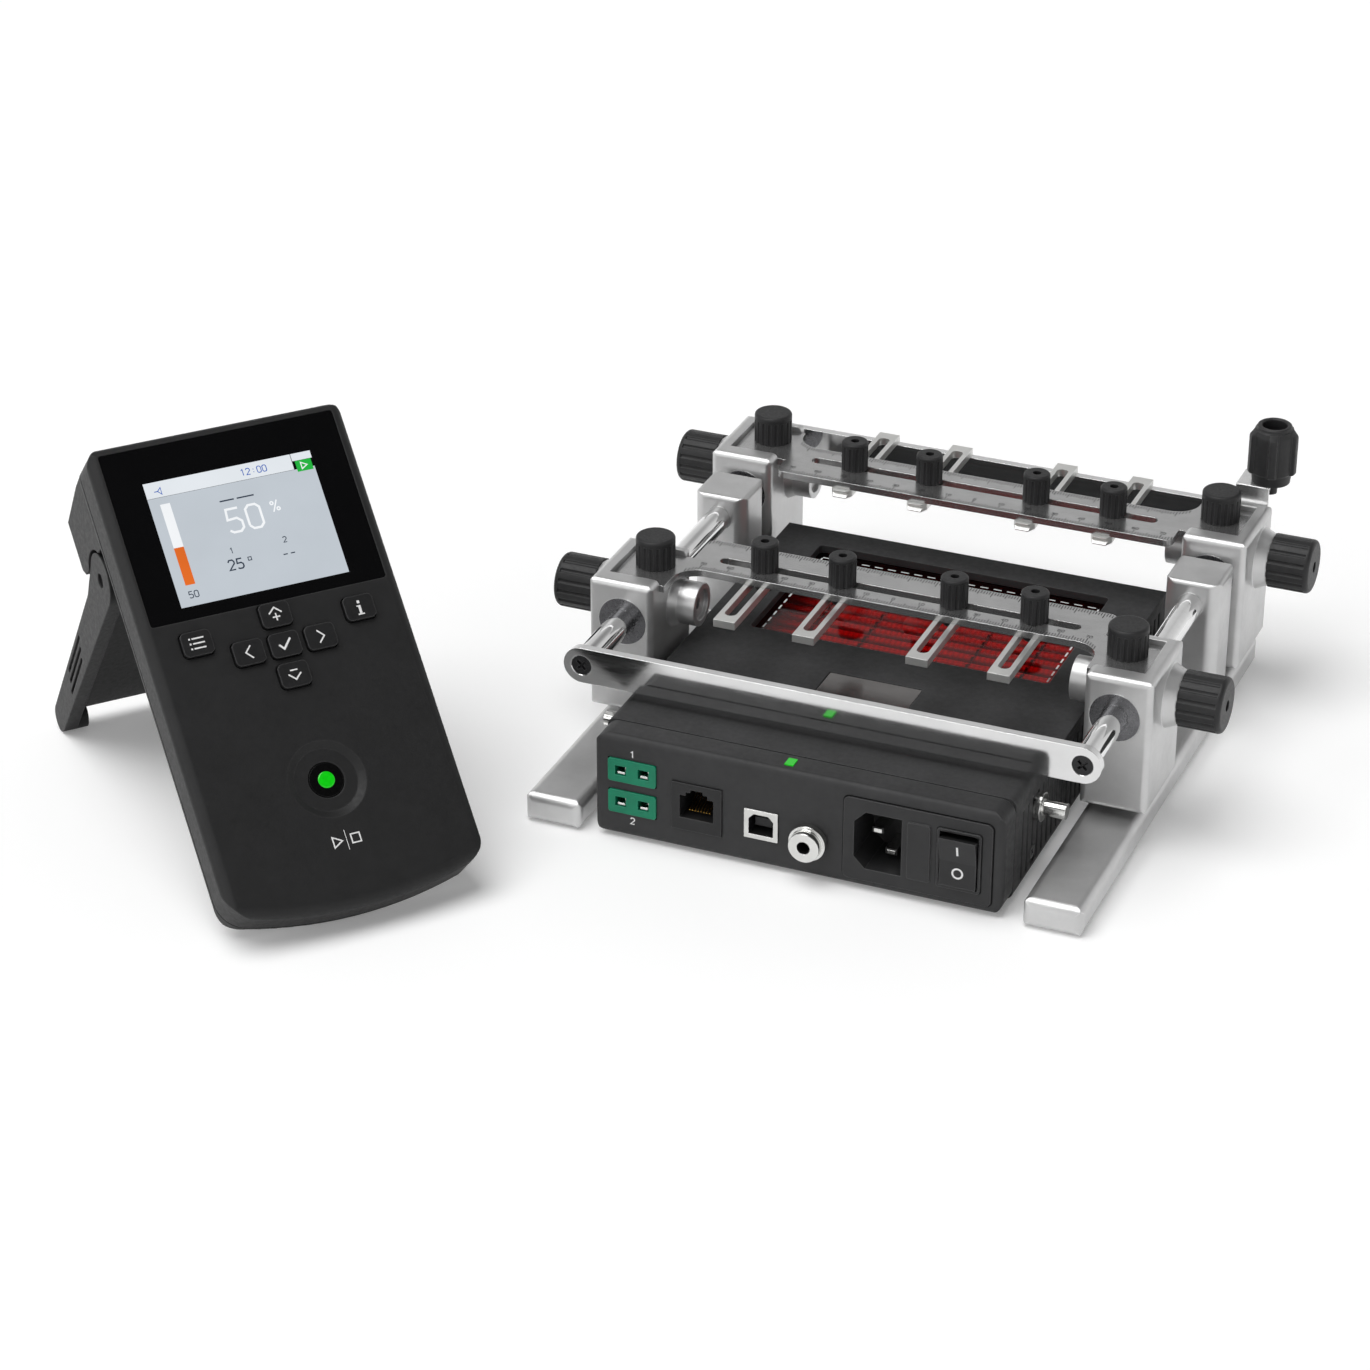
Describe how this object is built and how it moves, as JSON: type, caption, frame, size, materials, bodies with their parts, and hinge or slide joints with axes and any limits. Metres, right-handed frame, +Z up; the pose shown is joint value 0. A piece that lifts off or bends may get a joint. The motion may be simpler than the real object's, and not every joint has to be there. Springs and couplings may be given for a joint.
{
  "type": "circuit board preheater",
  "caption": "Infrared bench preheater with a sliding board holder on guide rods and a keypad console on a folding stand.",
  "frame": {"origin": "middle of the set's bounding box, on the bench", "axes": "+Z up, the heater's socket panel faces -Y, +X to the right as seen from that side"},
  "size_m": [0.3996, 0.3356, 0.1297],
  "materials": {
    "silver_paint": "fine cast surface, satin silver",
    "rod_chrome": "polished",
    "bar_metal": "polished",
    "ruler_metal": "mirror polished, engraved scale",
    "finger_metal": "ground",
    "bracket_metal": "bright",
    "knob_black": "fluted, fine texture",
    "bushing_dark": "smooth",
    "housing_black": "fine black texture",
    "panel_black": "fine texture",
    "window_red": "deep red, polished",
    "emitter_red": "dark red quartz",
    "reflector_metal": "heat stained",
    "socket_green": "moulded",
    "socket_metal": "plated",
    "inlet_black": "moulded",
    "rocker_black": "polished",
    "lamp_green": "lit lens",
    "pin_metal": "turned and plated",
    "pad_rubber": "soft",
    "console_black": "fine spark texture",
    "display_black": "smooth window over a lit display",
    "key_black": "satin",
    "button_black": "smooth with a lit lens"
  },
  "bodies": {
    "base": {"side_frames": "silver_paint", "guide_rods": "rod_chrome", "tie_bars": "bar_metal", "heater_housing": "housing_black", "front_panel": "panel_black", "top_cover": "housing_black", "window_glass": "window_red", "ir_emitters": "emitter_red", "reflector_tray": "reflector_metal", "thermocouple_sockets": "socket_green", "signal_sockets": "socket_metal", "power_inlet": "inlet_black", "indicator_lamp": "lamp_green", "side_pins": "pin_metal", "heater_feet": "pad_rubber", "console_face": "console_black", "console_back": "console_black", "console_display": "display_black"},
    "front_carriage": {"front_carriages": "silver_paint", "front_bushings": "bushing_dark", "front_ruler": "ruler_metal"},
    "rear_carriage": {"rear_carriages": "silver_paint", "rear_bushings": "bushing_dark", "rear_ruler": "ruler_metal", "sensor_bracket": "bracket_metal"},
    "top_knob_front_left": {"top_knob_front_left": "knob_black"},
    "side_knob_front_left": {"side_knob_front_left": "knob_black"},
    "top_knob_front_right": {"top_knob_front_right": "knob_black"},
    "side_knob_front_right": {"side_knob_front_right": "knob_black"},
    "nut_front_1": {"nut_front_1": "knob_black"},
    "finger_front_1": {"finger_front_1": "finger_metal"},
    "nut_front_2": {"nut_front_2": "knob_black"},
    "finger_front_2": {"finger_front_2": "finger_metal"},
    "nut_front_3": {"nut_front_3": "knob_black"},
    "finger_front_3": {"finger_front_3": "finger_metal"},
    "nut_front_4": {"nut_front_4": "knob_black"},
    "finger_front_4": {"finger_front_4": "finger_metal"},
    "top_knob_rear_left": {"top_knob_rear_left": "knob_black"},
    "side_knob_rear_left": {"side_knob_rear_left": "knob_black"},
    "top_knob_rear_right": {"top_knob_rear_right": "knob_black"},
    "side_knob_rear_right": {"side_knob_rear_right": "knob_black"},
    "nut_rear_1": {"nut_rear_1": "knob_black"},
    "finger_rear_1": {"finger_rear_1": "finger_metal"},
    "nut_rear_2": {"nut_rear_2": "knob_black"},
    "finger_rear_2": {"finger_rear_2": "finger_metal"},
    "nut_rear_3": {"nut_rear_3": "knob_black"},
    "finger_rear_3": {"finger_rear_3": "finger_metal"},
    "nut_rear_4": {"nut_rear_4": "knob_black"},
    "finger_rear_4": {"finger_rear_4": "finger_metal"},
    "sensor_knob": {"sensor_knob": "knob_black"},
    "rocker_switch": {"rocker_switch": "rocker_black"},
    "key_menu": {"key_menu": "key_black"},
    "key_up": {"key_up": "key_black"},
    "key_left": {"key_left": "key_black"},
    "key_ok": {"key_ok": "key_black"},
    "key_right": {"key_right": "key_black"},
    "key_down": {"key_down": "key_black"},
    "key_info": {"key_info": "key_black"},
    "start_button": {"start_button": "button_black"},
    "console_stand": {"console_stand": "console_black"}
  },
  "joints": [
    {"name": "front_carriage_slide", "type": "slide", "parent": "base", "child": "front_carriage", "axis": [0, 1, 0], "range_m": [-0.02, 0.03]},
    {"name": "rear_carriage_slide", "type": "slide", "parent": "base", "child": "rear_carriage", "axis": [0, 1, 0], "range_m": [-0.0015, 0.01]},
    {"name": "top_knob_front_left_turn", "type": "hinge", "parent": "front_carriage", "child": "top_knob_front_left", "pos_m": [-0.006, 0.0283, 0.0616], "axis": [0, 0, 1], "range_deg": [0, 180]},
    {"name": "side_knob_front_left_turn", "type": "hinge", "parent": "front_carriage", "child": "side_knob_front_left", "pos_m": [-0.0267, 0.0283, 0.0489], "axis": [-1, 0, 0], "range_deg": [0, 180]},
    {"name": "top_knob_front_right_turn", "type": "hinge", "parent": "front_carriage", "child": "top_knob_front_right", "pos_m": [0.1646, 0.0283, 0.0616], "axis": [0, 0, 1], "range_deg": [0, 180]},
    {"name": "side_knob_front_right_turn", "type": "hinge", "parent": "front_carriage", "child": "side_knob_front_right", "pos_m": [0.1853, 0.0283, 0.0489], "axis": [1, 0, 0], "range_deg": [0, 180]},
    {"name": "nut_front_1_slide", "type": "slide", "parent": "front_carriage", "child": "nut_front_1", "axis": [1, 0, 0], "range_m": [-0.013, 0.009]},
    {"name": "finger_front_1_slide", "type": "slide", "parent": "nut_front_1", "child": "finger_front_1", "axis": [0, 1, 0], "range_m": [-0.004, 0.012]},
    {"name": "nut_front_2_slide", "type": "slide", "parent": "front_carriage", "child": "nut_front_2", "axis": [1, 0, 0], "range_m": [-0.009, 0.009]},
    {"name": "finger_front_2_slide", "type": "slide", "parent": "nut_front_2", "child": "finger_front_2", "axis": [0, 1, 0], "range_m": [-0.004, 0.012]},
    {"name": "nut_front_3_slide", "type": "slide", "parent": "front_carriage", "child": "nut_front_3", "axis": [1, 0, 0], "range_m": [-0.009, 0.009]},
    {"name": "finger_front_3_slide", "type": "slide", "parent": "nut_front_3", "child": "finger_front_3", "axis": [0, 1, 0], "range_m": [-0.004, 0.012]},
    {"name": "nut_front_4_slide", "type": "slide", "parent": "front_carriage", "child": "nut_front_4", "axis": [1, 0, 0], "range_m": [-0.009, 0.013]},
    {"name": "finger_front_4_slide", "type": "slide", "parent": "nut_front_4", "child": "finger_front_4", "axis": [0, 1, 0], "range_m": [-0.004, 0.012]},
    {"name": "top_knob_rear_left_turn", "type": "hinge", "parent": "rear_carriage", "child": "top_knob_rear_left", "pos_m": [-0.006, 0.1388, 0.0616], "axis": [0, 0, 1], "range_deg": [0, 180]},
    {"name": "side_knob_rear_left_turn", "type": "hinge", "parent": "rear_carriage", "child": "side_knob_rear_left", "pos_m": [-0.0267, 0.1388, 0.0489], "axis": [-1, 0, 0], "range_deg": [0, 180]},
    {"name": "top_knob_rear_right_turn", "type": "hinge", "parent": "rear_carriage", "child": "top_knob_rear_right", "pos_m": [0.1646, 0.1388, 0.0616], "axis": [0, 0, 1], "range_deg": [0, 180]},
    {"name": "side_knob_rear_right_turn", "type": "hinge", "parent": "rear_carriage", "child": "side_knob_rear_right", "pos_m": [0.1853, 0.1388, 0.0489], "axis": [1, 0, 0], "range_deg": [0, 180]},
    {"name": "nut_rear_1_slide", "type": "slide", "parent": "rear_carriage", "child": "nut_rear_1", "axis": [1, 0, 0], "range_m": [-0.013, 0.009]},
    {"name": "finger_rear_1_slide", "type": "slide", "parent": "nut_rear_1", "child": "finger_rear_1", "axis": [0, 1, 0], "range_m": [-0.012, 0.004]},
    {"name": "nut_rear_2_slide", "type": "slide", "parent": "rear_carriage", "child": "nut_rear_2", "axis": [1, 0, 0], "range_m": [-0.009, 0.009]},
    {"name": "finger_rear_2_slide", "type": "slide", "parent": "nut_rear_2", "child": "finger_rear_2", "axis": [0, 1, 0], "range_m": [-0.012, 0.004]},
    {"name": "nut_rear_3_slide", "type": "slide", "parent": "rear_carriage", "child": "nut_rear_3", "axis": [1, 0, 0], "range_m": [-0.009, 0.009]},
    {"name": "finger_rear_3_slide", "type": "slide", "parent": "nut_rear_3", "child": "finger_rear_3", "axis": [0, 1, 0], "range_m": [-0.012, 0.004]},
    {"name": "nut_rear_4_slide", "type": "slide", "parent": "rear_carriage", "child": "nut_rear_4", "axis": [1, 0, 0], "range_m": [-0.009, 0.013]},
    {"name": "finger_rear_4_slide", "type": "slide", "parent": "nut_rear_4", "child": "finger_rear_4", "axis": [0, 1, 0], "range_m": [-0.012, 0.004]},
    {"name": "sensor_knob_turn", "type": "hinge", "parent": "rear_carriage", "child": "sensor_knob", "pos_m": [0.1769, 0.159, 0.0698], "axis": [0, 0, 1], "range_deg": [0, 180]},
    {"name": "rocker_swing", "type": "hinge", "parent": "base", "child": "rocker_switch", "pos_m": [0.1352, -0.0507, 0.0192], "axis": [1, 0, 0], "range_deg": [-11, 0]},
    {"name": "key_menu_press", "type": "slide", "parent": "base", "child": "key_menu", "axis": [-0.5377, 0.4592, -0.7071], "range_m": [0, 0.001], "stiffness_N_per_m": 400, "springref_m": -0.0006},
    {"name": "key_up_press", "type": "slide", "parent": "base", "child": "key_up", "axis": [-0.5377, 0.4592, -0.7071], "range_m": [0, 0.001], "stiffness_N_per_m": 400, "springref_m": -0.0006},
    {"name": "key_left_press", "type": "slide", "parent": "base", "child": "key_left", "axis": [-0.5377, 0.4592, -0.7071], "range_m": [0, 0.001], "stiffness_N_per_m": 400, "springref_m": -0.0006},
    {"name": "key_ok_press", "type": "slide", "parent": "base", "child": "key_ok", "axis": [-0.5377, 0.4592, -0.7071], "range_m": [0, 0.001], "stiffness_N_per_m": 400, "springref_m": -0.0006},
    {"name": "key_right_press", "type": "slide", "parent": "base", "child": "key_right", "axis": [-0.5377, 0.4592, -0.7071], "range_m": [0, 0.001], "stiffness_N_per_m": 400, "springref_m": -0.0006},
    {"name": "key_down_press", "type": "slide", "parent": "base", "child": "key_down", "axis": [-0.5377, 0.4592, -0.7071], "range_m": [0, 0.001], "stiffness_N_per_m": 400, "springref_m": -0.0006},
    {"name": "key_info_press", "type": "slide", "parent": "base", "child": "key_info", "axis": [-0.5377, 0.4592, -0.7071], "range_m": [0, 0.001], "stiffness_N_per_m": 400, "springref_m": -0.0006},
    {"name": "start_button_press", "type": "slide", "parent": "base", "child": "start_button", "axis": [-0.5377, 0.4592, -0.7071], "range_m": [0, 0.001], "stiffness_N_per_m": 400, "springref_m": -0.0006},
    {"name": "stand_fold", "type": "hinge", "parent": "base", "child": "console_stand", "pos_m": [-0.12244, -0.06513, 0.08588], "axis": [0.6494, 0.7604, 0], "range_deg": [-80, 0]}
  ]
}
